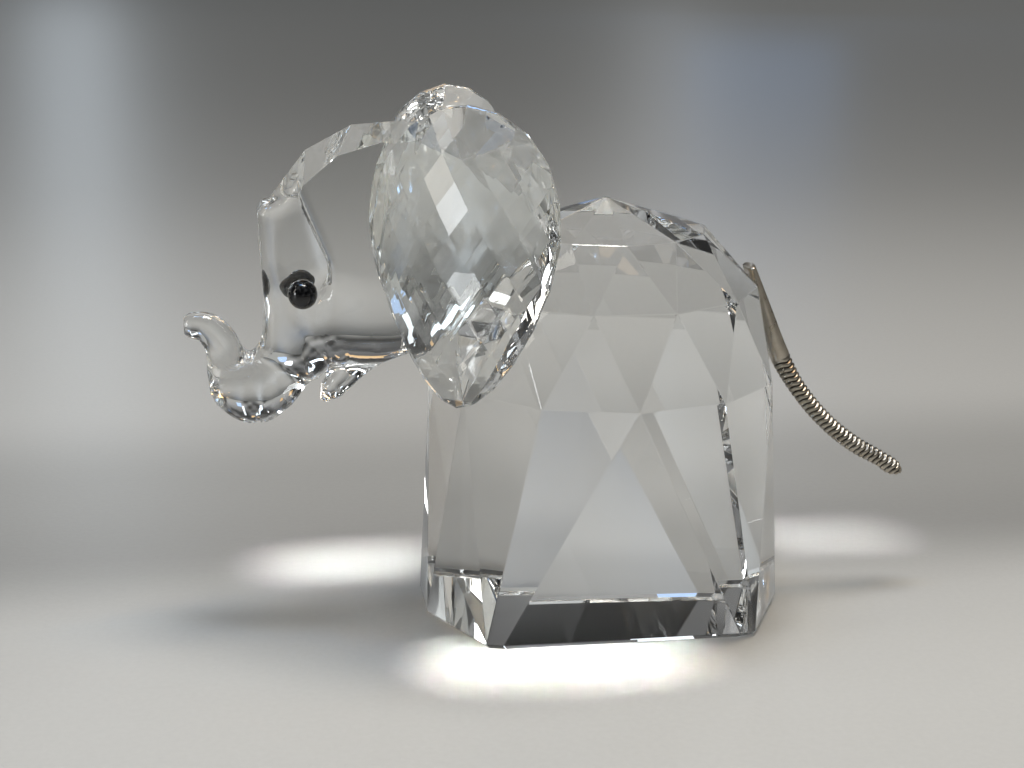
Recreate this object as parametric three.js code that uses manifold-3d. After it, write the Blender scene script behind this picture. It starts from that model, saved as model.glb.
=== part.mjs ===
// Crystal glass elephant figurine. Millimetres, +Z up, resting on z = 0.
// The elephant faces -X and is symmetric about the plane y = 0.
// The origin is the centre of the flat base of the body block.
import * as THREE from 'three';
import { ConvexGeometry } from 'three/addons/geometries/ConvexGeometry.js';
import { mergeVertices } from 'three/addons/utils/BufferGeometryUtils.js';
import Module from 'manifold-3d';

const wasm = await Module();
wasm.setup();

// ---- driving dimensions ----

// Body block: a twelve-sided gem cut, three rings of corners under a point.
const BODY_SIDES = 12;
const GIRTH = { radius: 30, height: 42.3 };
const SHOULDER = { radius: 26, height: 57.1 };
const CAP = { radius: 17.25, height: 66.6 };
const BODY_TOP = 71.75;
// Base outline, one quarter: front corner, side corner and the width of the corner cut.
const BASE_FRONT = { x: 31.2, y: 6 };
const BASE_SIDE = { x: 23, y: 21.9 };
const CORNER_CUT = 2.8;
const BASE_BEVEL = 0.8;

// Head: a faceted coin of glass, with the face and trunk drawn out of it in the flame.
const HEAD = { x: -37, z: 64.5, radius: 20.6, flatRadius: 17.8, halfWidth: 7, sides: 15, turn: 10 };

// Chin: the bottom of the coin is trimmed off by a tilted flat through this x, z point.
const CHIN = { x: -43.5, z: 43.7, tilt: 18 };
// Cheeks: the front of the coin is ground thinner, forward of a bent brow line of x, z points.
const CHEEK = { halfWidth: 5.2, brow: [[-52.3, 75], [-47.2, 62.6], [-46.2, 52]], reach: 15 };
// Face: a slab with rounded edges, as an outline of x, z points.
const FACE = {
  outline: [[-58.4, 70.6], [-57.3, 47], [-50, 44], [-46, 56], [-50, 73.4], [-57.4, 71.9]],
  edge: 1.2,
};

// Neck seat: the plane where head and body are ground flat and bonded.
const NECK = { tilt: 30, offset: 48.6 };

// Clear adhesive: the gap it fills, and the hair's breadth left free on each side of it.
const BOND_GAP = 0.3;
const BOND_EASE = 0.05;

// Ears: drops chequered on both faces, standing out from the sides of the head.
const EAR = {
  x: -26.6, y: -17.1, z: 65, length: 48.4, width: 33.6, fullness: 0.3, taper: 1.1,
  dome: 4.4, girdle: 1, backDome: 2.6, flare: 36, lean: 4, sides: 22, check: 0.343, swell: 1.037,
};
const EAR_FRONT_SLOPE = 0.9;
const EAR_BACK_SLOPE = 0.8;

const EYE = { x: -51.4, y: 6.1, z: 57.45, radius: 2.42 };

// Tail: a flat tab bonded to the rump, running into a ribbed rod. Stations are x, z, radius.
const TAIL = [
  [25.45, 59.3, 0.9], [28.55, 51, 1.3], [31.6, 43.3, 1.5], [34.9, 37.7, 1.45], [38.3, 33.4, 1.45],
  [42.2, 29.5, 1.45], [47, 25.9, 1.45], [51.2, 23.5, 1.4], [54.5, 21.3, 1.2], [55.4, 20.7, 0.5],
];
const TAIL_RIBS = { count: 33, depth: 0.25, start: 0.36 };
const TAIL_TAB_SPREAD = 3;
// The tab is bonded only where it lies on the rump facet, this far below the shoulder edge.
const TAIL_BOND_DROP = 1;

// How finely round glass and metal are divided.
const DRAWN_GLASS = { sides: 24, steps: 24 };
const LIP_GLASS = { sides: 16, steps: 12 };
const CAST_METAL = { sides: 12, steps: 150 };
const BALL_STEPS = { around: 28, rings: 18 };
const FACE_EDGE_STEPS = 3;

// ---- helpers ----

const rad = THREE.MathUtils.degToRad;
const at = (x, y, z) => new THREE.Vector3(x, y, z);

function toSolid(geometry) {
  const bare = geometry.clone();
  bare.deleteAttribute('normal');
  bare.deleteAttribute('uv');
  const welded = mergeVertices(bare, 1e-4);
  const vertProperties = new Float32Array(welded.attributes.position.array);
  const triVerts = new Uint32Array(welded.index.array);
  return new wasm.Manifold(new wasm.Mesh({ numProp: 3, vertProperties, triVerts }));
}

function toGeometry(solid) {
  const mesh = solid.getMesh();
  const geometry = new THREE.BufferGeometry();
  geometry.setAttribute('position', new THREE.BufferAttribute(mesh.vertProperties, 3));
  geometry.setIndex(new THREE.BufferAttribute(mesh.triVerts, 1));
  const faceted = geometry.toNonIndexed();
  faceted.computeVertexNormals();
  return faceted;
}

// Grinds one flat facet: removes everything beyond the plane normal . p = distance.
const WHEEL = 200;
function grind(solid, normal, distance) {
  const wheel = new THREE.BoxGeometry(WHEEL, WHEEL, WHEEL);
  wheel.translate(0, 0, WHEEL / 2 + distance);
  const turn = new THREE.Quaternion().setFromUnitVectors(at(0, 0, 1), normal.clone().normalize());
  wheel.applyQuaternion(turn);
  return solid.subtract(toSolid(wheel));
}

// A closed tube with a changing oval section, bent along stations in the plane y = 0.
// Each station is [x, z, radius]; `spread` widens or narrows the section across that plane,
// and `ripple` adds to the radius. Both take the distance along the tube, from 0 to 1.
function bentTube(stations, { sides, steps, spread = () => 1, ripple = () => 0 }) {
  const path = new THREE.CatmullRomCurve3(stations.map(([x, z]) => at(x, 0, z)), false, 'centripetal');
  const sizes = new THREE.SplineCurve(stations.map(([, , r], i) => new THREE.Vector2(i, r)));
  const tube = new THREE.CylinderGeometry(1, 1, 1, sides, steps);
  const position = tube.attributes.position;
  const across = at(0, 1, 0);
  for (let i = 0; i < position.count; i += 1) {
    const along = THREE.MathUtils.clamp(position.getY(i) + 0.5, 0, 1);
    const t = path.getUtoTmapping(along);
    const side = new THREE.Vector3().crossVectors(path.getTangent(t), across);
    const radius = sizes.getPoint(t).y + ripple(along);
    const p = path.getPoint(t)
      .addScaledVector(side, position.getX(i) * radius)
      .addScaledVector(across, position.getZ(i) * radius * spread(along));
    position.setXYZ(i, p.x, p.y, p.z);
  }
  return tube;
}

// The bonding film between two seats: the slice of a solid inside the gap along `normal`.
function filmSlice(solid, normal, seat) {
  const outer = grind(solid, normal, seat + BOND_GAP - BOND_EASE);
  return grind(outer, normal.clone().negate(), -(seat + BOND_EASE));
}

function addPart(group, name, geometry, look) {
  const mesh = new THREE.Mesh(geometry, new THREE.MeshStandardMaterial(look));
  mesh.name = name;
  group.add(mesh);
  return mesh;
}

// The same stone reflected to the other side of the elephant.
function mirrored(geometry) {
  const copy = geometry.clone().scale(1, -1, 1);
  const corners = copy.attributes.position;
  for (let i = 0; i < corners.count; i += 3) {
    const second = new THREE.Vector3().fromBufferAttribute(corners, i + 1);
    const third = new THREE.Vector3().fromBufferAttribute(corners, i + 2);
    corners.setXYZ(i + 1, third.x, third.y, third.z);
    corners.setXYZ(i + 2, second.x, second.y, second.z);
  }
  copy.computeVertexNormals();
  return copy;
}

const CRYSTAL = { color: 0xf4f6f5, roughness: 0.03, metalness: 0 };
const BLACK_GLASS = { color: 0x0a0a0b, roughness: 0.06, metalness: 0 };
const SILVER = { color: 0x8f8980, roughness: 0.35, metalness: 1 };
const CLEAR_BOND = { color: 0xeeeee6, roughness: 0.1, metalness: 0 };

const elephant = new THREE.Group();

// ---- seat planes ----

const neckNormal = at(-Math.cos(rad(NECK.tilt)), 0, Math.sin(rad(NECK.tilt)));

// The rump facet that carries the tail, between the shoulder edge and the girth corner.
const rumpEdge = SHOULDER.radius * Math.cos(Math.PI / BODY_SIDES);
const rumpNormal = at(SHOULDER.height - GIRTH.height, 0, GIRTH.radius - rumpEdge).normalize();
const rumpSeat = rumpNormal.dot(at(GIRTH.radius, 0, GIRTH.height));

// ---- body block ----

function ringPoints({ radius, height }, count, turn = 0) {
  const points = [];
  for (let i = 0; i < count; i += 1) {
    const angle = ((i + turn) * 2 * Math.PI) / count;
    points.push(at(radius * Math.cos(angle), radius * Math.sin(angle), height));
  }
  return points;
}

function bodyBlock() {
  // The corner cut runs parallel to the girth edge above it, so that facet stays flat.
  const corner = {
    x: BASE_SIDE.x - CORNER_CUT,
    y: BASE_SIDE.y + CORNER_CUT * Math.tan(Math.PI / BODY_SIDES),
  };
  const points = [at(0, 0, BODY_TOP)];
  points.push(...ringPoints(CAP, BODY_SIDES));
  points.push(...ringPoints(SHOULDER, BODY_SIDES, 0.5));
  points.push(...ringPoints(GIRTH, BODY_SIDES));
  const inset = 1 - BASE_BEVEL / BASE_FRONT.x;
  for (const { x, y } of [BASE_FRONT, BASE_SIDE, corner]) {
    for (const [sx, sy] of [[1, 1], [1, -1], [-1, 1], [-1, -1]]) {
      points.push(at(sx * x, sy * y, BASE_BEVEL));
      points.push(at(sx * x * inset, sy * y * inset, 0));
    }
  }
  return toSolid(new ConvexGeometry(points));
}

const bodyBlank = bodyBlock();
addPart(elephant, 'body_block', toGeometry(grind(bodyBlank, neckNormal, NECK.offset)), CRYSTAL);

// ---- head, trunk and lip: one piece of glass ----

function headCoin() {
  const points = [];
  const rim = (radius, y, turn) => {
    for (let i = 0; i < HEAD.sides; i += 1) {
      const angle = rad(HEAD.turn) + ((i + turn) * 2 * Math.PI) / HEAD.sides;
      points.push(at(HEAD.x + radius * Math.cos(angle), y, HEAD.z + radius * Math.sin(angle)));
    }
  };
  rim(HEAD.radius, 0, 0);
  rim(HEAD.flatRadius, HEAD.halfWidth, 0.5);
  rim(HEAD.flatRadius, -HEAD.halfWidth, 0.5);
  return toSolid(new ConvexGeometry(points));
}

// A plate between y = low and y = high with an outline of x, z points and rounded edges.
function plate(outline, low, high, edge) {
  const shape = new THREE.Shape(outline.map(([x, z]) => new THREE.Vector2(x, z)));
  const solid = new THREE.ExtrudeGeometry(shape, {
    depth: high - low - 2 * edge,
    bevelEnabled: edge > 0,
    bevelThickness: edge,
    bevelSize: edge,
    bevelOffset: -edge,
    bevelSegments: FACE_EDGE_STEPS,
  });
  solid.rotateX(Math.PI / 2).translate(0, high - edge, 0);
  return toSolid(solid);
}

// The drawn glass below the coin, as bent tubes of x, z, radius: the muzzle, the trunk that
// turns up from it, and the lower lip. ELBOW is where the trunk turns.
const ELBOW = { x: -59.6, z: 40.1, radius: 5.6 };
const MUZZLE = [[-34, 53.5, 6.3], [-40, 52, 7.2], [-48, 50.8, 8.3], [-54.1, 44.7, 5.1], [-59, 40.5, 5.2]];
const MUZZLE_WIDTH = 0.86;
const TRUNK = [
  [-58.6, 40, 4.6], [-61.6, 40.6, 5], [-63.5, 42.8, 3.9], [-64.2, 45.8, 3.1], [-65.2, 49.2, 2.9],
  [-67.5, 51, 2.5], [-70, 51.3, 2], [-71.3, 51.3, 1.2],
];
const LIP = [[-40.5, 46, 2.6], [-43.6, 43, 2.4], [-45.8, 40.6, 2.1], [-47.2, 39, 1.6], [-47.9, 38.2, 0.5]];

function headBlank() {
  const chinNormal = at(Math.sin(rad(CHIN.tilt)), 0, -Math.cos(rad(CHIN.tilt)));
  let head = grind(headCoin(), chinNormal, chinNormal.dot(at(CHIN.x, 0, CHIN.z)));
  const [top, bend, bottom] = CHEEK.brow;
  const forward = [top, bend, bottom, [bottom[0] - CHEEK.reach, bottom[1]], [top[0] - CHEEK.reach, top[1]]];
  head = head.subtract(plate(forward, CHEEK.halfWidth, HEAD.radius, 0));
  head = head.subtract(plate(forward, -HEAD.radius, -CHEEK.halfWidth, 0));
  head = head.add(plate(FACE.outline, -CHEEK.halfWidth, CHEEK.halfWidth, FACE.edge));
  head = head.add(toSolid(bentTube(MUZZLE, { ...DRAWN_GLASS, spread: () => MUZZLE_WIDTH })));
  head = head.add(toSolid(bentTube(TRUNK, DRAWN_GLASS)));
  const { sides } = DRAWN_GLASS;
  const elbow = new THREE.SphereGeometry(ELBOW.radius, sides, sides / 2).translate(ELBOW.x, 0, ELBOW.z);
  return head.add(toSolid(elbow)).add(toSolid(bentTube(LIP, LIP_GLASS)));
}

function ball(radius, side) {
  const { around, rings } = BALL_STEPS;
  return toSolid(new THREE.SphereGeometry(radius, around, rings).translate(EYE.x, side * EYE.y, EYE.z));
}

const glassHead = headBlank();
const socketed = glassHead.subtract(ball(EYE.radius + BOND_GAP, 1)).subtract(ball(EYE.radius + BOND_GAP, -1));
const neckCut = grind(socketed, neckNormal.clone().negate(), -(NECK.offset + BOND_GAP));
addPart(elephant, 'head', toGeometry(neckCut), CRYSTAL);

const neckFilm = filmSlice(glassHead.intersect(bodyBlank), neckNormal, NECK.offset);
addPart(elephant, 'neck_adhesive', toGeometry(neckFilm), CLEAR_BOND);

// ---- ears ----

// Drop outline of the girdle at the angle phi, from the top (0) round the tip (pi).
function dropPoint(phi) {
  const across = Math.abs(Math.sin(phi)) ** EAR.taper * (1 + EAR.fullness * Math.cos(phi));
  const halfWidth = (EAR.width / 2 / EAR.swell) * across;
  return new THREE.Vector2(Math.sign(Math.sin(phi)) * halfWidth, (EAR.length / 2) * Math.cos(phi));
}

// Local frame of an ear stone: x runs back along the ear, y is up, z is out of its front.
function earStone() {
  const blankSize = 2 * EAR.length;
  const depth = EAR.dome + EAR.girdle + EAR.backDome;
  const blank = new THREE.BoxGeometry(blankSize, blankSize, depth);
  let stone = toSolid(blank.translate(0, 0, EAR.dome - depth / 2));
  for (let i = 0; i < EAR.sides; i += 1) {
    const a = dropPoint((2 * Math.PI * i) / EAR.sides);
    const b = dropPoint((2 * Math.PI * (i + 1)) / EAR.sides);
    const edge = b.sub(a);
    const out = at(-edge.y, edge.x, 0).normalize();
    if (out.dot(at(a.x, a.y, 0)) < 0) out.negate();
    const reach = out.dot(at(a.x, a.y, 0));
    stone = grind(stone, out, reach);
    stone = grind(stone, out.clone().add(at(0, 0, EAR_FRONT_SLOPE)), reach / Math.hypot(1, EAR_FRONT_SLOPE));
    const backReach = (reach + EAR_BACK_SLOPE * EAR.girdle) / Math.hypot(1, EAR_BACK_SLOPE);
    stone = grind(stone, out.clone().add(at(0, 0, -EAR_BACK_SLOPE)), backReach);
  }
  stone = chequered(stone, EAR.dome, 0, 1, 0);
  return chequered(stone, EAR.backDome, EAR.girdle, -1, 0.5);
}

// Chequered face: facets tangent to a shallow dome, on a square lattice turned 45 degrees. The
// dome stands on the level `base`, on the side `way`; `shift` moves the lattice by part of a step.
function chequered(blank, dome, base, way, shift) {
  let stone = blank;
  const rows = Math.ceil(Math.SQRT2 / EAR.check);
  for (let i = shift - rows; i <= rows; i += 1) {
    for (let j = shift - rows; j <= rows; j += 1) {
      const u = ((i - j) * EAR.check) / Math.SQRT2;
      const v = ((i + j) * EAR.check) / Math.SQRT2;
      const drop = (u * u + v * v) / 2;
      if (drop > 1) continue;
      const x = (u * EAR.width) / Math.sqrt(8);
      const y = (v * EAR.length) / Math.sqrt(8);
      const touch = at(x, y, way * (base + dome * (1 - drop)));
      const normal = at((8 * dome * x) / EAR.width ** 2, (8 * dome * y) / EAR.length ** 2, way).normalize();
      stone = grind(stone, normal, normal.dot(touch));
    }
  }
  return stone;
}

function placedEar() {
  const stone = toGeometry(earStone());
  stone.rotateX(Math.PI / 2 - rad(EAR.lean));
  stone.rotateZ(-rad(EAR.flare));
  stone.translate(EAR.x, EAR.y, EAR.z);
  return toSolid(stone);
}

const sideways = at(0, 1, 0);
const earBlank = placedEar();
const leftEar = toGeometry(grind(earBlank, sideways, -(HEAD.halfWidth + BOND_GAP)));
addPart(elephant, 'ear_left', leftEar, CRYSTAL);
addPart(elephant, 'ear_right', mirrored(leftEar), CRYSTAL);

const earSlice = filmSlice(earBlank, sideways, -(HEAD.halfWidth + BOND_GAP));
addPart(elephant, 'ear_left_adhesive', toGeometry(earSlice), CLEAR_BOND);
addPart(elephant, 'ear_right_adhesive', mirrored(toGeometry(earSlice)), CLEAR_BOND);

// ---- eyes ----

for (const [name, side] of [['left', -1], ['right', 1]]) {
  addPart(elephant, `eye_${name}`, toGeometry(ball(EYE.radius, side)), BLACK_GLASS);
  const cup = ball(EYE.radius + BOND_GAP - BOND_EASE, side).subtract(ball(EYE.radius + BOND_EASE, side));
  addPart(elephant, `eye_${name}_adhesive`, toGeometry(cup.intersect(glassHead)), CLEAR_BOND);
}

// ---- tail ----

function tailBlank() {
  const { count, depth, start } = TAIL_RIBS;
  const ripple = (along) => {
    if (along < start) return 0;
    return depth * (Math.abs(Math.sin((Math.PI * count * (along - start)) / (1 - start))) - 1);
  };
  const spread = (along) => 1 + (TAIL_TAB_SPREAD - 1) * Math.max(0, 1 - along / start);
  return toSolid(bentTube(TAIL, { ...CAST_METAL, spread, ripple }));
}

const rod = tailBlank();
const tail = grind(rod, rumpNormal.clone().negate(), -(rumpSeat + BOND_GAP));
addPart(elephant, 'tail', toGeometry(tail), SILVER);

const tabFilm = grind(filmSlice(rod, rumpNormal, rumpSeat), at(0, 0, 1), SHOULDER.height - TAIL_BOND_DROP);
addPart(elephant, 'tail_adhesive', toGeometry(tabFilm), CLEAR_BOND);

export default elephant;
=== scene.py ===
"""Looks of the crystal elephant figurine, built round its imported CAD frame.

Blender works in metres and in the frame of the CAD model: +Z up, the elephant faces -X, and the
origin is the centre of the flat base. Shapes below are worked out in millimetres and scaled once.
"""

import math

import bmesh
import bpy
import numpy as np
from mathutils import Matrix, Vector


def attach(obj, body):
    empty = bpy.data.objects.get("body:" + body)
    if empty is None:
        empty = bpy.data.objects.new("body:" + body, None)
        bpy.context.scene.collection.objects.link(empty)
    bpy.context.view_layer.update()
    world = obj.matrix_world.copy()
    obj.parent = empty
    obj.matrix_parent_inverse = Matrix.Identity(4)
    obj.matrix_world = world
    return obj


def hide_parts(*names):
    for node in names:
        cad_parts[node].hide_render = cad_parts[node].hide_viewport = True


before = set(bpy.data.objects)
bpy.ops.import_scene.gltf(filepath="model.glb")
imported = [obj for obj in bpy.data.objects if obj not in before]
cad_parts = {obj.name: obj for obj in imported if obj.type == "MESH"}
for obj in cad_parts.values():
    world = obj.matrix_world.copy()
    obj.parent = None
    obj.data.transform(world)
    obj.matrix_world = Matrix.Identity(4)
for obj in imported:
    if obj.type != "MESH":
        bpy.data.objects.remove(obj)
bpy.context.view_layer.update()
scene = bpy.context.scene
MM = 0.001

# ---- dimensions in millimetres: those of the CAD model, with trunk, lip and tail refined ----

BODY_SIDES = 12
GIRTH = {"radius": 30, "height": 42.3}
SHOULDER = {"radius": 26, "height": 57.1}
HEAD = {"x": -37, "z": 64.5, "radius": 20.6, "flat_radius": 17.8, "half_width": 7, "sides": 15, "turn": 10}
CHIN = {"x": -43.5, "z": 43.7, "tilt": 18}
CHEEK = {"half_width": 5.2, "top": (-52.3, 75), "bend": (-47.2, 62.6), "bottom": (-46.2, 52)}
FACE = {"outline": [(-58.4, 70.6), (-57.3, 47), (-50, 44), (-46, 56), (-50, 73.4), (-57.4, 71.9)], "edge": 3}
NECK = {"tilt": 30, "offset": 48.6}
BOND_GAP = 0.3
EYE = {"x": -51.4, "y": 6.1, "z": 57.45, "radius": 2.42}

# Drawn glass, as stations of x, z and radius in the plane y = 0.
MUZZLE = [(-34, 53.5, 6.3), (-40, 52, 7.2), (-48, 50.8, 8.3), (-54.1, 44.7, 5.1), (-59, 40.5, 5.2)]
MUZZLE_WIDTH = 0.86
TRUNK = [
    (-57, 41, 4.8), (-59.6, 40, 5.5), (-62.4, 41.2, 4.9), (-63.7, 43.6, 3.8), (-64.3, 46.4, 3.1),
    (-65.5, 49.2, 2.8), (-67.5, 51, 2.5), (-69.2, 51.3, 2.2),
]
LIP = [(-40.5, 46, 2.6), (-43.6, 43, 2.4), (-45.8, 40.6, 2.1), (-47.2, 39, 1.6), (-47.6, 38.5, 1.0)]

# Tail centre line, as stations of x, z and radius, with its ribs and the spread of its tab.
# `start` and `onset` are parts of the way along the tail, and `wave` is a part of one rib.
TAIL = [
    (25.45, 59.3, 0.9), (28.55, 51, 1.4), (31.6, 43.3, 1.75), (34.9, 37.7, 1.55), (38.3, 33.4, 1.52),
    (42.2, 29.5, 1.52), (47, 25.9, 1.52), (51.2, 23.5, 1.45), (54.5, 21.3, 1.2), (55.4, 20.7, 0.5),
]
TAIL_RIBS = {"count": 33, "depth": 0.3, "start": 0.345, "onset": 0.012, "wave": -0.22}
TAIL_TAB_SPREAD = 3

# Half the thickness of the ring of adhesive round each eye.
MENISCUS = 0.18


# ---- node helpers ----

def new_material(name, viewport_colour):
    material = bpy.data.materials.new(name)
    material.use_nodes = True
    material.diffuse_color = viewport_colour
    shader = material.node_tree.nodes["Principled BSDF"]
    return material, shader


def add_node(material, kind, **settings):
    """A shader node; settings are its properties, or its input sockets by name."""
    node = material.node_tree.nodes.new(kind)
    for key, value in settings.items():
        if key in node.inputs:
            node.inputs[key].default_value = value
        else:
            setattr(node, key, value)
    return node


def link(material, source, target):
    material.node_tree.links.new(source, target)


def object_noise(material, scale, detail=2.0, stretch=(1, 1, 1)):
    """Noise fixed to the piece, as a factor socket."""
    place = add_node(material, "ShaderNodeTexCoord")
    mapping = add_node(material, "ShaderNodeMapping", Scale=stretch)
    noise = add_node(material, "ShaderNodeTexNoise", Scale=scale, Detail=detail)
    link(material, place.outputs["Object"], mapping.inputs["Vector"])
    link(material, mapping.outputs["Vector"], noise.inputs["Vector"])
    return noise.outputs["Fac"]


def remap(material, source, low, high, to_low, to_high):
    node = add_node(material, "ShaderNodeMapRange")
    for socket, value in zip(("From Min", "From Max", "To Min", "To Max"), (low, high, to_low, to_high)):
        node.inputs[socket].default_value = value
    link(material, source, node.inputs["Value"])
    return node.outputs["Result"]


def add_bump(material, shader, height, distance, strength=1.0):
    bump = add_node(material, "ShaderNodeBump", Distance=distance, Strength=strength)
    link(material, height, bump.inputs["Height"])
    link(material, bump.outputs["Normal"], shader.inputs["Normal"])


# ---- materials ----

def crystal_material(name, tint, ior, roughness):
    """Polished glass, clear, with a faint bloom of handling marks in its polish."""
    material, shader = new_material(name, (*tint, 0.3))
    shader.inputs["Base Color"].default_value = (*tint, 1)
    shader.inputs["IOR"].default_value = ior
    shader.inputs["Transmission Weight"].default_value = 1
    marks = object_noise(material, 260, detail=3)
    link(material, remap(material, marks, 0.55, 0.8, roughness, roughness + 0.02), shader.inputs["Roughness"])
    return material


crystal = crystal_material("crystal", (0.985, 0.995, 0.99), 1.55, 0.0)
clear_bond = crystal_material("clear_adhesive", (0.98, 0.98, 0.95), 1.55, 0.01)


def black_glass_material():
    material, shader = new_material("black_glass", (0.01, 0.01, 0.012, 1))
    shader.inputs["Base Color"].default_value = (0.003, 0.003, 0.004, 1)
    shader.inputs["IOR"].default_value = 1.55
    marks = object_noise(material, 900, detail=3)
    link(material, remap(material, marks, 0.5, 0.8, 0.02, 0.07), shader.inputs["Roughness"])
    return material


black_glass = black_glass_material()


def silver_material():
    """Cast silver-coloured metal, warm and slightly tarnished, blackened with tarnish where it is deep and
    darkened by painted shade along its top.
    """
    material, shader = new_material("silver_metal", (0.5, 0.46, 0.41, 1))
    shader.inputs["Metallic"].default_value = 1
    patina = object_noise(material, 420, detail=5)
    # The groove layer holds tarnish in the grooves and painted shade along the top of the rod.
    depth = add_node(material, "ShaderNodeVertexColor", layer_name="groove")
    colours = add_node(material, "ShaderNodeValToRGB")
    colours.color_ramp.elements[0].position = 0.3
    colours.color_ramp.elements[0].color = (0.36, 0.32, 0.26, 1)
    colours.color_ramp.elements[1].position = 0.72
    colours.color_ramp.elements[1].color = (0.56, 0.52, 0.45, 1)
    link(material, patina, colours.inputs["Fac"])
    tarnish_and_shade_mix = add_node(material, "ShaderNodeMix", data_type="RGBA")
    tarnish_and_shade_mix.inputs["B"].default_value = (0.02, 0.018, 0.015, 1)
    link(material, depth.outputs["Color"], tarnish_and_shade_mix.inputs["Factor"])
    link(material, colours.outputs["Color"], tarnish_and_shade_mix.inputs["A"])
    link(material, tarnish_and_shade_mix.outputs["Result"], shader.inputs["Base Color"])
    link(material, remap(material, patina, 0.3, 0.7, 0.24, 0.4), shader.inputs["Roughness"])
    add_bump(material, shader, object_noise(material, 1500, detail=4), 0.00004, 0.35)
    return material


silver = silver_material()


# ---- mesh helpers ----

def add_piece(name, mesh, material, slot, *nodes):
    """A finished visible piece that stands for CAD nodes and rides with the figurine."""
    piece = bpy.data.objects.new(name, mesh)
    scene.collection.objects.link(piece)
    mesh.materials.clear()
    mesh.materials.append(material)
    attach(piece, "root")
    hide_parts(*nodes)


def mesh_from(name, points, faces):
    """points are in millimetres."""
    mesh = bpy.data.meshes.new(name)
    mesh.from_pydata((np.asarray(points) * MM).tolist(), [], faces)
    mesh.validate()
    return mesh


def ring_faces(rows, around, closed=False):
    """Quads between rows of points, each row a ring; closed also joins the last row to the first."""
    faces = []
    for i in range(rows if closed else rows - 1):
        after = (i + 1) % rows
        for j in range(around):
            beside = (j + 1) % around
            faces.append((i * around + j, i * around + beside, after * around + beside, after * around + j))
    return faces


def round_mesh(name, points, faces):
    """A smooth-shaded closed mesh, its poles welded and its faces turned outwards."""
    bm = bmesh.new()
    bm.from_mesh(mesh_from(name, points, faces))
    bmesh.ops.remove_doubles(bm, verts=bm.verts, dist=0.0001 * MM)
    bmesh.ops.recalc_face_normals(bm, faces=bm.faces)
    mesh = finish_mesh(bm, name)
    mesh.shade_smooth()
    return mesh


WELD = 0.002
SAME_FACET_ANGLE = 0.4


def whole_facets(node):
    """A copy of a CAD stone, with the triangles of each flat facet joined to one face."""
    bm = bmesh.new()
    bm.from_mesh(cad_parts[node].data)
    bmesh.ops.remove_doubles(bm, verts=bm.verts, dist=WELD * MM)
    bmesh.ops.dissolve_limit(bm, angle_limit=math.radians(SAME_FACET_ANGLE), verts=bm.verts, edges=bm.edges)
    return bm


def finish_mesh(bm, name):
    mesh = bpy.data.meshes.new(name)
    bm.to_mesh(mesh)
    bm.free()
    return mesh


def polished_stone(node, edge):
    """The CAD stone with its facets whole and the fine bevel that polishing leaves on each edge."""
    bm = whole_facets(node)
    bmesh.ops.bevel(bm, geom=bm.edges[:], offset=edge * MM, segments=1, affect="EDGES", clamp_overlap=True)
    return finish_mesh(bm, node + "_stone")


def spline(stations, count):
    """Smooth curve through the stations, at count + 1 even steps; each row is x, z, radius."""
    points = np.array(stations, float)
    steps = np.linalg.norm(np.diff(points[:, :2], axis=0), axis=1)
    knots = np.concatenate([[0], np.cumsum(steps)])
    slopes = np.gradient(points, knots, axis=0, edge_order=1)
    where = np.linspace(0, knots[-1], count + 1)
    segment = np.clip(np.searchsorted(knots, where, side="right") - 1, 0, len(knots) - 2)
    width = (knots[segment + 1] - knots[segment])[:, None]
    t = (where - knots[segment])[:, None] / width
    start, end = points[segment], points[segment + 1]
    leave, arrive = slopes[segment] * width, slopes[segment + 1] * width
    return (
        (2 * t**3 - 3 * t**2 + 1) * start + (t**3 - 2 * t**2 + t) * leave
        + (3 * t**2 - 2 * t**3) * end + (t**3 - t**2) * arrive
    )


# ---- head, trunk and lip: the distance field of one piece of glass ----

def blend_min(a, b, radius):
    """Union of two distances with a fillet of about the given radius."""
    overlap = np.maximum(radius - np.abs(a - b), 0) / radius
    return np.minimum(a, b) - overlap**2 * radius / 4


def blend_max(a, b, radius):
    return -blend_min(-a, -b, radius)


class DrawnTube:
    """Distance to glass drawn out along a curve in the plane y = 0."""

    COARSE = 60
    FINE = 1200
    REFINEMENTS = 3

    def __init__(self, stations, width=1):
        self.path = spline(stations, self.FINE)
        self.width = width
        self.step = np.linspace(0, 1, self.FINE + 1)
        self.slope = np.gradient(self.path, self.step, axis=0)

    def look_up(self, table, t):
        return np.stack([np.interp(t, self.step, table[:, i]) for i in range(3)], axis=1)

    def distance(self, p):
        flat = p[:, [0, 2]]
        coarse = self.path[:: self.FINE // self.COARSE, :2]
        nearest = np.full(len(p), np.inf)
        t = np.zeros(len(p))
        for i, centre in enumerate(coarse):
            reach = ((flat - centre) ** 2).sum(1)
            closer = reach < nearest
            nearest[closer] = reach[closer]
            t[closer] = i / self.COARSE
        for _ in range(self.REFINEMENTS):
            offset = flat - self.look_up(self.path, t)[:, :2]
            slope = self.look_up(self.slope, t)[:, :2]
            t = np.clip(t + (offset * slope).sum(1) / (slope**2).sum(1), 0, 1)
        here = self.look_up(self.path, t)
        return np.sqrt(((flat - here[:, :2]) ** 2).sum(1) + (p[:, 1] / self.width) ** 2) - here[:, 2]


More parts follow.
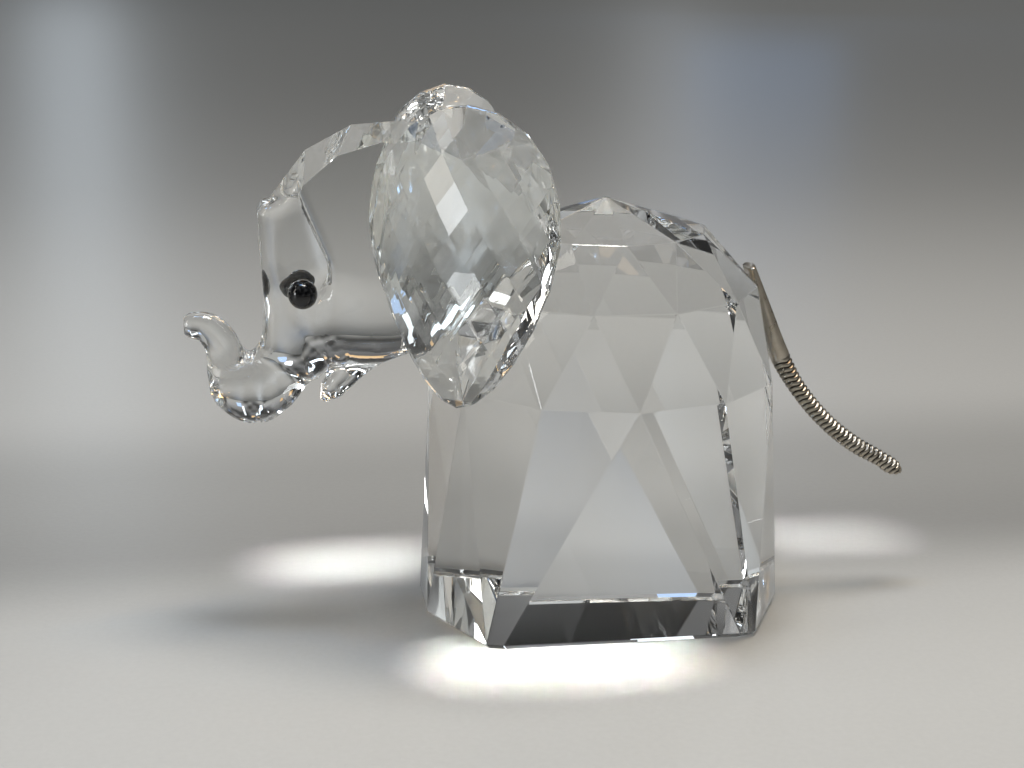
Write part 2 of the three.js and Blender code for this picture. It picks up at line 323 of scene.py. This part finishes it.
def coin_planes():
    """Facets of the round head: outward normals and their distances from the origin."""
    step = 2 * math.pi / HEAD["sides"]

    def rim(radius, y, turn):
        angles = math.radians(HEAD["turn"]) + (np.arange(HEAD["sides"]) + turn) * step
        x = HEAD["x"] + radius * np.cos(angles)
        z = HEAD["z"] + radius * np.sin(angles)
        return np.stack([x, np.full_like(x, y), z], axis=1)

    ridge = rim(HEAD["radius"], 0, 0)
    triangles = []
    for side in (1, -1):
        flat = rim(HEAD["flat_radius"], side * HEAD["half_width"], 0.5)
        for i in range(HEAD["sides"]):
            after = (i + 1) % HEAD["sides"]
            triangles.append((ridge[i], ridge[after], flat[i]))
            triangles.append((flat[i], flat[after], ridge[after]))
    centre = np.array([HEAD["x"], 0, HEAD["z"]])
    normals, distances = [np.array([0, 1, 0]), np.array([0, -1, 0])], [HEAD["half_width"]] * 2
    for a, b, c in triangles:
        normal = np.cross(b - a, c - a)
        normal /= np.linalg.norm(normal)
        if normal @ (a - centre) < 0:
            normal = -normal
        normals.append(normal)
        distances.append(normal @ a)
    return np.array(normals), np.array(distances)


COIN_NORMALS, COIN_DISTANCES = coin_planes()
DRAWN = {"muzzle": DrawnTube(MUZZLE, MUZZLE_WIDTH), "trunk": DrawnTube(TRUNK), "lip": DrawnTube(LIP)}
NECK_NORMAL = np.array([-math.cos(math.radians(NECK["tilt"])), 0, math.sin(math.radians(NECK["tilt"]))])
FILLET = {"muzzle": 3.5, "trunk": 2.5, "coin": 1.6, "lip": 1.6, "cheek": 1.4, "nostril": 0.5}
JAW = {"height": 48, "radius": 7, "fade": 0.15}
NOSTRIL = {"x": -72.4, "z": 51.3, "radius": 1.9}
EYE_SINK = 0.05


def beyond_line(p, start, end):
    """Signed distance from a line in the plane y = 0, positive to the right of start to end."""
    along = np.array(end, float) - start
    along /= np.linalg.norm(along)
    return (p[:, 2] - start[1]) * along[0] * -1 + (p[:, 0] - start[0]) * along[1]


def face_distance(p, side):
    """The flat front of the face: a slab with softly rounded edges."""
    outline = FACE["outline"]
    slab = np.full(len(p), -np.inf)
    for start, end in zip(outline, outline[1:] + outline[:1]):
        slab = np.maximum(slab, beyond_line(p, start, end))
    return blend_max(slab, side - CHEEK["half_width"], FACE["edge"])


def head_distance(p):
    """Signed distance to the head's glass at points p, in millimetres."""
    side = np.abs(p[:, 1])
    coin = np.full(len(p), -np.inf)
    for normal, distance in zip(COIN_NORMALS, COIN_DISTANCES):
        coin = np.maximum(coin, p @ normal - distance)
    tilt = math.radians(CHIN["tilt"])
    chin = (p[:, 0] - CHIN["x"]) * math.sin(tilt) - (p[:, 2] - CHIN["z"]) * math.cos(tilt)
    coin = np.maximum(coin, chin)
    # The flame has rounded the lower rim of the coin, so the jaw has no facets; it fades out above.
    rim = np.hypot(p[:, 0] - HEAD["x"], p[:, 2] - HEAD["z"]) - (HEAD["radius"] - JAW["radius"])
    rounded = np.hypot(np.maximum(rim, 0), side) - JAW["radius"]
    coin = blend_max(coin, rounded - JAW["fade"] * np.maximum(p[:, 2] - JAW["height"], 0), FILLET["cheek"])
    # Each cheek is ground down to a thinner flat, from the brow line forward.
    behind = np.minimum(
        beyond_line(p, CHEEK["top"], CHEEK["bend"]),
        beyond_line(p, CHEEK["bend"], CHEEK["bottom"]),
    )
    coin = blend_max(coin, np.minimum(side - CHEEK["half_width"], behind), FILLET["cheek"])
    glass = blend_min(coin, face_distance(p, side), FILLET["coin"])
    drawn = blend_min(DRAWN["muzzle"].distance(p), DRAWN["trunk"].distance(p), FILLET["trunk"])
    glass = blend_min(glass, drawn, FILLET["muzzle"])
    glass = blend_min(glass, DRAWN["lip"].distance(p), FILLET["lip"])
    nostril = np.sqrt((p[:, 0] - NOSTRIL["x"]) ** 2 + p[:, 1] ** 2 + (p[:, 2] - NOSTRIL["z"]) ** 2)
    glass = blend_max(glass, NOSTRIL["radius"] - nostril, FILLET["nostril"])
    eye = np.sqrt((p[:, 0] - EYE["x"]) ** 2 + (side - EYE["y"]) ** 2 + (p[:, 2] - EYE["z"]) ** 2)
    glass = np.maximum(glass, EYE["radius"] - EYE_SINK - eye)
    return np.maximum(glass, NECK["offset"] + BOND_GAP - p @ NECK_NORMAL)


def head_gradient(p, reach=0.01):
    gradient = np.zeros_like(p)
    for axis in range(3):
        step = np.zeros(3)
        step[axis] = reach
        gradient[:, axis] = head_distance(p + step) - head_distance(p - step)
    return gradient / np.maximum(np.linalg.norm(gradient, axis=1, keepdims=True), 1e-9)


# The four cells round a grid edge, as steps from its first corner, for edges along x, y and z.
CELLS_AROUND = (
    ((0, 0, 0), (0, -1, 0), (0, -1, -1), (0, 0, -1)),
    ((0, 0, 0), (0, 0, -1), (-1, 0, -1), (-1, 0, 0)),
    ((0, 0, 0), (-1, 0, 0), (-1, -1, 0), (0, -1, 0)),
)
FIELD_PARTS = 24
ROOT_STEPS = 6
ROOT_MARGIN = 0.05
FLATNESS = 0.05


def edge_crossings(distance, field, low, pitch, axis):
    """Grid edges along one axis that the surface cuts: first corners, cuts, and which start inside."""
    inside = field < 0
    near = [slice(None)] * 3
    far = [slice(None)] * 3
    near[axis], far[axis] = slice(None, -1), slice(1, None)
    index = np.argwhere(inside[tuple(near)] != inside[tuple(far)])
    step = np.zeros(3)
    step[axis] = pitch
    start = np.array(low) + index * pitch
    value_a = field[tuple(index.T)]
    value_b = field[tuple((index + (step > 0)).T)]
    cut = value_a / (value_a - value_b)
    lower, upper = np.zeros(len(index)), np.ones(len(index))
    for _ in range(ROOT_STEPS):
        value = distance(start + cut[:, None] * step)
        same = (value < 0) == (value_a < 0)
        lower, value_a = np.where(same, cut, lower), np.where(same, value, value_a)
        upper, value_b = np.where(same, upper, cut), np.where(same, value_b, value)
        share = np.clip(value_a / (value_a - value_b), ROOT_MARGIN, 1 - ROOT_MARGIN)
        cut = lower + (upper - lower) * share
    return index, start + cut[:, None] * step, inside[tuple(near)][tuple(index.T)]


def meeting_points(points, normals, cells, centre, pitch):
    """Where the tangent planes at the crossings of each cell meet, kept inside the cell."""
    count = len(centre)
    weight = np.bincount(cells, minlength=count)[:, None]
    middle = np.stack([np.bincount(cells, points[:, i], count) for i in range(3)], axis=1) / weight
    offset = ((points - middle[cells]) * normals).sum(1)
    square = np.zeros((count, 3, 3))
    right = np.zeros((count, 3))
    for i in range(3):
        right[:, i] = np.bincount(cells, normals[:, i] * offset, count)
        for j in range(3):
            square[:, i, j] = np.bincount(cells, normals[:, i] * normals[:, j], count)
    values, vectors = np.linalg.eigh(square)
    inverse = np.where(values > FLATNESS * values[:, -1:], 1 / np.maximum(values, 1e-9), 0)
    local = np.einsum("nij,nj,nkj,nk->ni", vectors, inverse, vectors, right)
    return np.clip(middle + local, centre - pitch / 2, centre + pitch / 2)


def contour(distance, gradient, low, high, pitch):
    """Closed mesh of distance = 0 by dual contouring, which keeps ground edges sharp."""
    counts = np.ceil((np.array(high) - low) / pitch).astype(int) + 1
    axes = [low[i] + pitch * np.arange(counts[i]) for i in range(3)]
    corners = np.stack(np.meshgrid(*axes, indexing="ij"), axis=-1).reshape(-1, 3)
    parts = [distance(part) for part in np.array_split(corners, FIELD_PARTS)]
    field = np.concatenate(parts).reshape(counts)
    owners, points, quads = [], [], []
    for axis, around in enumerate(CELLS_AROUND):
        index, point, outward = edge_crossings(distance, field, low, pitch, axis)
        ids = np.stack([np.ravel_multi_index((index + off).T, counts) for off in around], axis=1)
        owners.append(ids)
        points.append(point)
        quads.append(np.where(outward[:, None], ids, ids[:, ::-1]))
    owners, points, quads = np.concatenate(owners), np.concatenate(points), np.concatenate(quads)
    used = np.unique(owners)
    cells = np.searchsorted(used, owners).ravel()
    normals = np.repeat(gradient(points), 4, axis=0)
    points = np.repeat(points, 4, axis=0)
    centre = np.stack(np.unravel_index(used, counts), axis=1) * pitch + low + pitch / 2
    return meeting_points(points, normals, cells, centre, pitch), np.searchsorted(used, quads)


# The box that holds the head, the pitch of its grid, and the angle that counts as a ground edge.
HEAD_LOW, HEAD_HIGH = (-73, -9.1, 32.1), (-18, 9.1, 86.3)
HEAD_PITCH, HEAD_QUICK_PITCH = 0.45, 0.8
CREASE_ANGLE = 9
# How far into its face a corner on an edge looks for the normal of its own facet.
INTO_FACE = 0.6


def head_mesh():
    pitch = HEAD_PITCH
    place, quads = contour(head_distance, head_gradient, HEAD_LOW, HEAD_HIGH, pitch)
    mesh = mesh_from("head_glass", place, quads.tolist())
    mesh.shade_smooth()
    # Corner normals come from the field itself: one smooth normal where the glass is round, and
    # the facet's own where a ground edge runs through the corner.
    count = len(mesh.loops)
    vertex = np.zeros(count, int)
    mesh.loops.foreach_get("vertex_index", vertex)
    sizes = np.array([len(face.vertices) for face in mesh.polygons])
    faces = np.repeat(np.arange(len(sizes)), sizes)
    flat = np.array([face.normal for face in mesh.polygons])[faces]
    middle = np.array([face.center for face in mesh.polygons])[faces] / MM
    spots = np.array([v.co for v in mesh.vertices]) / MM
    smooth = head_gradient(spots)[vertex]
    crease = (smooth * flat).sum(1) < math.cos(math.radians(CREASE_ANGLE))
    inward = spots[vertex[crease]] * (1 - INTO_FACE) + middle[crease] * INTO_FACE
    smooth[crease] = head_gradient(inward)
    mesh.normals_split_custom_set(smooth.tolist())
    return mesh


add_piece("head_glass", head_mesh(), crystal, "crystal", "head")

# ---- body and ears: ground stones ----

POLISHED_EDGE = {"body_block": 0.1, "ear_left": 0.06, "ear_right": 0.06}
for node, edge in POLISHED_EDGE.items():
    add_piece(node + "_stone", polished_stone(node, edge), crystal, "crystal", node)


# ---- bonds: clear films that reach just into the glass on both sides, as cured adhesive does ----

def thickened_film(node, normal):
    """The CAD film, twice as thick along its normal, so light passes from stone to stone."""
    bm = whole_facets(node)
    normal = Vector(normal).normalized()
    heights = [normal.dot(v.co) for v in bm.verts]
    middle = (min(heights) + max(heights)) / 2
    for v, height in zip(bm.verts, heights):
        v.co += normal * (height - middle)
    return finish_mesh(bm, node + "_film")


def add_bond(name, mesh, node):
    add_piece(name, mesh, clear_bond, "clear_adhesive", node)


add_bond("neck_film", thickened_film("neck_adhesive", NECK_NORMAL), "neck_adhesive")
for name in ("ear_left", "ear_right"):
    add_bond(f"{name}_film", thickened_film(f"{name}_adhesive", (0, 1, 0)), f"{name}_adhesive")

# The tail's film keeps its CAD shape.
tail_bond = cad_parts["tail_adhesive"].data
tail_bond.materials.clear()
tail_bond.materials.append(clear_bond)


def meniscus_mesh(side):
    """The ring of adhesive that stands round an eye where it meets the cheek."""
    rise = EYE["y"] - CHEEK["half_width"]
    ring = math.sqrt(EYE["radius"] ** 2 - rise**2)
    around, section = 48, 10
    points = []
    for i in range(around):
        turn = 2 * math.pi * i / around
        for j in range(section):
            tilt = 2 * math.pi * j / section
            out = ring + MENISCUS * math.cos(tilt)
            y = side * (CHEEK["half_width"] + MENISCUS * math.sin(tilt))
            points.append((EYE["x"] + out * math.cos(turn), y, EYE["z"] + out * math.sin(turn)))
    return round_mesh("eye_meniscus", points, ring_faces(around, section, closed=True))


for side, name in ((-1, "left"), (1, "right")):
    add_bond(f"eye_{name}_meniscus", meniscus_mesh(side), f"eye_{name}_adhesive")


# ---- eyes: beads pressed from black glass rod ----

def eye_mesh(side):
    """A bead turned about the line across the head, with the small flat of its pressing behind."""
    rings, steps, flat = 28, 56, 0.93
    points = []
    for i in range(rings + 1):
        angle = math.pi * i / rings
        out = max(-flat, math.cos(angle))
        radius = EYE["radius"] * math.sin(angle)
        for j in range(steps):
            turn = 2 * math.pi * j / steps
            x = EYE["x"] + radius * math.cos(turn)
            z = EYE["z"] + radius * math.sin(turn)
            points.append((x, side * (EYE["y"] + EYE["radius"] * out), z))
    return round_mesh("eye_bead", points, ring_faces(rings + 1, steps))


for side, name in ((-1, "left"), (1, "right")):
    add_piece(f"eye_{name}_bead", eye_mesh(side), black_glass, "black_glass", f"eye_{name}")


# ---- tail: a cast tab that runs into a ribbed rod ----

def tail_mesh():
    around, per_rib = 56, 10
    start = TAIL_RIBS["start"]
    count = int(TAIL_RIBS["count"] * per_rib / (1 - start))
    path = spline(TAIL, count)
    edge = SHOULDER["radius"] * math.cos(math.pi / BODY_SIDES)
    rump = np.array([SHOULDER["height"] - GIRTH["height"], 0, GIRTH["radius"] - edge])
    rump = rump / np.linalg.norm(rump)
    seat = rump @ np.array([GIRTH["radius"], 0, GIRTH["height"]]) + BOND_GAP
    along = np.linspace(0, 1, count + 1)[:, None]
    slope = np.gradient(path, axis=0)
    slope = slope / np.linalg.norm(slope[:, :2], axis=1, keepdims=True)
    turn = (np.arange(around) * 2 * math.pi / around)[None, :]
    # The ribs cross the rod in a shallow S, and the grooves are widest and deepest along its top.
    upper = np.cos(turn)
    top = np.maximum(upper, 0)
    phase = TAIL_RIBS["count"] * (along - start) / (1 - start) + TAIL_RIBS["wave"] * np.sin(math.pi * upper)
    ribbed = np.clip((along - start) / TAIL_RIBS["onset"], 0, 1) * (phase > 0)
    groove = (0.5 + 0.5 * np.cos(2 * math.pi * phase)) ** (3 - 2.2 * top) * ribbed
    depth = TAIL_RIBS["depth"] * (1 + 0.5 * top)
    # Tarnish fills the grooves, and painted shade darkens the crests towards the top.
    tarnish_and_top_shade = np.maximum(groove, np.clip((upper - 0.45) * 3, 0, 0.65) * ribbed)
    radius = path[:, 2:3] - depth * groove
    spread = 1 + (TAIL_TAB_SPREAD - 1) * np.maximum(0, 1 - along / start)
    centre = path[:, None, [0, 0, 1]] * np.array([1, 0, 1])
    # `side` points to the outside of the bend, away from the body.
    side = -np.stack([slope[:, 1], np.zeros(len(slope)), -slope[:, 0]], axis=1)[:, None, :]
    across = np.array([0, 1, 0])
    rise = side * (upper * radius)[..., None]
    breadth = across * (np.sin(turn) * radius * spread)[..., None]
    points = (centre + rise + breadth).reshape(-1, 3)
    # The tab is flat where it meets the rump: whatever would be past the seat is moved onto it.
    sunk = np.maximum(seat - points @ rump, 0)
    points += sunk[:, None] * rump
    faces = ring_faces(count + 1, around)
    faces.append(tuple(range(around)))
    faces.append(tuple(count * around + j for j in range(around)))
    mesh = round_mesh("tail_cast", points, faces)
    shade = mesh.color_attributes.new("groove", "FLOAT_COLOR", "POINT")
    for i, value in enumerate(tarnish_and_top_shade.ravel()):
        shade.data[i].color = (value, value, value, 1)
    return mesh


add_piece("tail_cast", tail_mesh(), silver, "silver_metal", "tail")


# ---- stage: a pale floor under soft light ----

# Painted light and shade on the floor along its depth: metres behind the figurine, and the tone painted
# there.
FLOOR_PAINTED_LIGHT_AND_SHADE = (
    (-0.05, 0.51), (-0.01, 0.47), (0.03, 0.26), (0.07, 0.29), (0.13, 0.41), (0.5, 0.3), (1.6, 0.36),
)
FLOOR_NEAR, FLOOR_FAR = -0.3, 1.7
PAPER_BLUE = 0.955
FLOOR_SIZE, FLOOR_DROP = 4.0, 0.00005


def floor_material():
    """Pale satin paper with painted light and shade along its depth: bright in front, a painted shadow band
    just behind the figurine.
    """
    material, shader = new_material("floor_paper", (0.7, 0.7, 0.69, 1))
    place = add_node(material, "ShaderNodeTexCoord")
    split = add_node(material, "ShaderNodeSeparateXYZ")
    link(material, place.outputs["Object"], split.inputs["Vector"])
    depth = remap(material, split.outputs["Y"], FLOOR_NEAR, FLOOR_FAR, 0, 1)
    # This ramp paints light and shade into the floor colour: bright in front, a painted shadow band behind
    # the figurine, and painted tones further back.
    painted_light_ramp = add_node(material, "ShaderNodeValToRGB")
    ramp = painted_light_ramp.color_ramp
    ramp.interpolation = "EASE"
    ramp.elements[0].position, ramp.elements[1].position = 0, 1
    for y, tone in FLOOR_PAINTED_LIGHT_AND_SHADE:
        stop = ramp.elements.new((y - FLOOR_NEAR) / (FLOOR_FAR - FLOOR_NEAR))
        stop.color = (tone, tone, tone * PAPER_BLUE, 1)
    ramp.elements[0].color = ramp.elements[1].color
    ramp.elements[-1].color = ramp.elements[-2].color
    link(material, depth, painted_light_ramp.inputs["Fac"])
    grain = object_noise(material, 900, detail=4)
    speckle = add_node(material, "ShaderNodeMix", data_type="RGBA", blend_type="MULTIPLY")
    speckle.inputs["Factor"].default_value = 1
    fleck = remap(material, grain, 0.3, 0.7, 0.96, 1.0)
    link(material, painted_light_ramp.outputs["Color"], speckle.inputs["A"])
    link(material, fleck, speckle.inputs["B"])
    link(material, speckle.outputs["Result"], shader.inputs["Base Color"])
    shader.inputs["Roughness"].default_value = 0.38
    add_bump(material, shader, grain, 0.0001, 0.2)
    return material


def add_floor():
    bm = bmesh.new()
    corners = ((-1, -1), (1, -1), (1, 1), (-1, 1))
    bm.faces.new([bm.verts.new((x * FLOOR_SIZE, y * FLOOR_SIZE, -FLOOR_DROP)) for x, y in corners])
    floor = bpy.data.objects.new("floor", finish_mesh(bm, "floor"))
    floor.data.materials.append(floor_material())
    scene.collection.objects.link(floor)


add_floor()


def add_light(name, place, target, size, power, colour=(1, 1, 1), spread=180):
    data = bpy.data.lights.new(name, "AREA")
    data.shape = "RECTANGLE"
    data.size, data.size_y = size
    data.energy = power
    data.color = colour
    data.spread = math.radians(spread)
    light = bpy.data.objects.new(name, data)
    light.location = place
    light.rotation_mode = "QUATERNION"
    light.rotation_quaternion = (Vector(target) - Vector(place)).to_track_quat("-Z", "Y")
    scene.collection.objects.link(light)


WARM, COOL = (1.0, 0.62, 0.25), (0.3, 0.55, 1.0)
SUBJECT = (0.02, 0.0, 0.03)

# The softbox has a warm and a cool edge, which the glass shows as colour fringes.
add_light("overhead", (0.03, 0.04, 0.6), SUBJECT, (0.2, 0.2), 2.7, (1.0, 0.98, 0.94))
add_light("overhead_warm", (0.16, 0.04, 0.6), SUBJECT, (0.05, 0.2), 0.5, WARM)
add_light("overhead_cool", (-0.1, 0.04, 0.6), SUBJECT, (0.05, 0.2), 0.5, COOL)
add_light("window_left", (-0.3, 2.6, 0.75), SUBJECT, (0.13, 0.9), 1.2, (0.8, 0.9, 1.0))
add_light("window_right", (0.62, 2.5, 0.8), SUBJECT, (0.12, 0.9), 0.5, (0.9, 0.95, 1.0))
add_light("window_side", (-1.6, -0.3, 0.9), SUBJECT, (0.3, 0.9), 3.0, (1.0, 0.95, 0.86))
add_light("window_low", (-1.5, -0.65, 0.35), SUBJECT, (0.4, 0.45), 4.4, (0.95, 0.98, 1.0))


def around_room(azimuth, elevation, reach):
    """A place in the room, by its angles in degrees as seen from the figurine."""
    turn, rise = math.radians(azimuth), math.radians(elevation)
    return (
        reach * math.cos(turn) * math.cos(rise),
        reach * math.sin(turn) * math.cos(rise),
        reach * math.sin(rise),
    )


# Small bright lamps, which the facets break into sparks, and dim tinted cards, which they show
# as patches of colour.
LAMPS, CARDS = 4, 9
ROOM_REACH = 1.6
for i in range(LAMPS):
    place = around_room(15 + 50 * i, (22, 48)[i % 2], ROOM_REACH)
    add_light(f"lamp_{i}", place, SUBJECT, (0.07, 0.07), 0.4)
for i in range(CARDS):
    place = around_room(20 + 17.5 * i, (7, 30, 50)[i % 3], ROOM_REACH)
    add_light(f"card_{i}", place, SUBJECT, (0.16, 0.16), 0.065, (WARM, COOL)[i % 2])

# Narrow lamps that stand in for the light the crystal focuses on the floor beside its base.
add_light("pool_left", (-0.06, 0.32, 0.45), (-0.043, 0.022, 0), (0.028, 0.005), 0.0034, spread=2.5)
add_light("pool_right", (0.07, 0.32, 0.45), (0.05, 0.024, 0), (0.026, 0.004), 0.0018, spread=2.5)
add_light("pool_front", (-0.02, -0.3, 0.45), (-0.011, -0.028, 0), (0.04, 0.004), 0.007, spread=2.5)


# How bright the room is by height, from 0 at the horizon to 1 overhead, and how strongly its
# patches vary: the range of noise that is used, and the brightness it is stretched to.
ROOM_TONES = ((0.12, 0.17), (0.25, 0.1), (0.45, 0.06), (0.7, 0.2))
ROOM_PATCHES = (0.44, 0.58, 0.2, 2.0)
ROOM_PATCH_SCALE = 3.5


def world_light():
    """A dim room: grey at the horizon, darkest part way up and pale towards the ceiling."""
    world = bpy.data.worlds.new("room")
    scene.world = world
    world.use_nodes = True
    tree = world.node_tree
    place = tree.nodes.new("ShaderNodeTexCoord")
    split = tree.nodes.new("ShaderNodeSeparateXYZ")
    ramp = tree.nodes.new("ShaderNodeValToRGB")
    ramp.color_ramp.elements[0].position, ramp.color_ramp.elements[1].position = 0, 1
    ramp.color_ramp.elements[0].color = (0.2, 0.2, 0.19, 1)
    ramp.color_ramp.elements[1].color = (0.3, 0.31, 0.31, 1)
    for height, tone in ROOM_TONES:
        stop = ramp.color_ramp.elements.new(height)
        stop.color = (tone, tone, tone, 1)
    # Furniture and fittings: patches of the room are brighter or darker than the rest.
    patches = tree.nodes.new("ShaderNodeTexNoise")
    patches.inputs["Scale"].default_value = ROOM_PATCH_SCALE
    patches.inputs["Detail"].default_value = 1
    contrast = tree.nodes.new("ShaderNodeMapRange")
    for socket, value in zip(("From Min", "From Max", "To Min", "To Max"), ROOM_PATCHES):
        contrast.inputs[socket].default_value = value
    tree.links.new(place.outputs["Generated"], split.inputs["Vector"])
    tree.links.new(place.outputs["Generated"], patches.inputs["Vector"])
    tree.links.new(patches.outputs["Fac"], contrast.inputs["Value"])
    tree.links.new(split.outputs["Z"], ramp.inputs["Fac"])
    tree.links.new(ramp.outputs["Color"], tree.nodes["Background"].inputs["Color"])
    tree.links.new(contrast.outputs["Result"], tree.nodes["Background"].inputs["Strength"])


world_light()

# ---- camera ----

CAMERA_PLACE = (-0.0616, -0.29496, 0.12199)
CAMERA_YAW, CAMERA_PITCH, CAMERA_ROLL = 8.838, 15.453, 0.547
FOCAL_WIDTHS = 1800 / 1024


def add_camera():
    data = bpy.data.cameras.new("camera")
    data.sensor_width = 36
    data.lens = FOCAL_WIDTHS * data.sensor_width
    data.clip_start, data.clip_end = 0.01, 20
    camera = bpy.data.objects.new("camera", data)
    turn = Matrix.Rotation(-math.radians(CAMERA_YAW), 4, "Z")
    tilt = Matrix.Rotation(math.radians(90 - CAMERA_PITCH), 4, "X")
    roll = Matrix.Rotation(math.radians(CAMERA_ROLL), 4, "Z")
    camera.matrix_world = Matrix.Translation(CAMERA_PLACE) @ turn @ tilt @ roll
    scene.collection.objects.link(camera)
    scene.camera = camera


add_camera()

# Light meets many facets inside the crystal before it leaves.
scene.cycles.max_bounces = 32
scene.cycles.transmission_bounces = 32
scene.cycles.glossy_bounces = 16
scene.cycles.diffuse_bounces = 4
scene.view_settings.view_transform = "Standard"
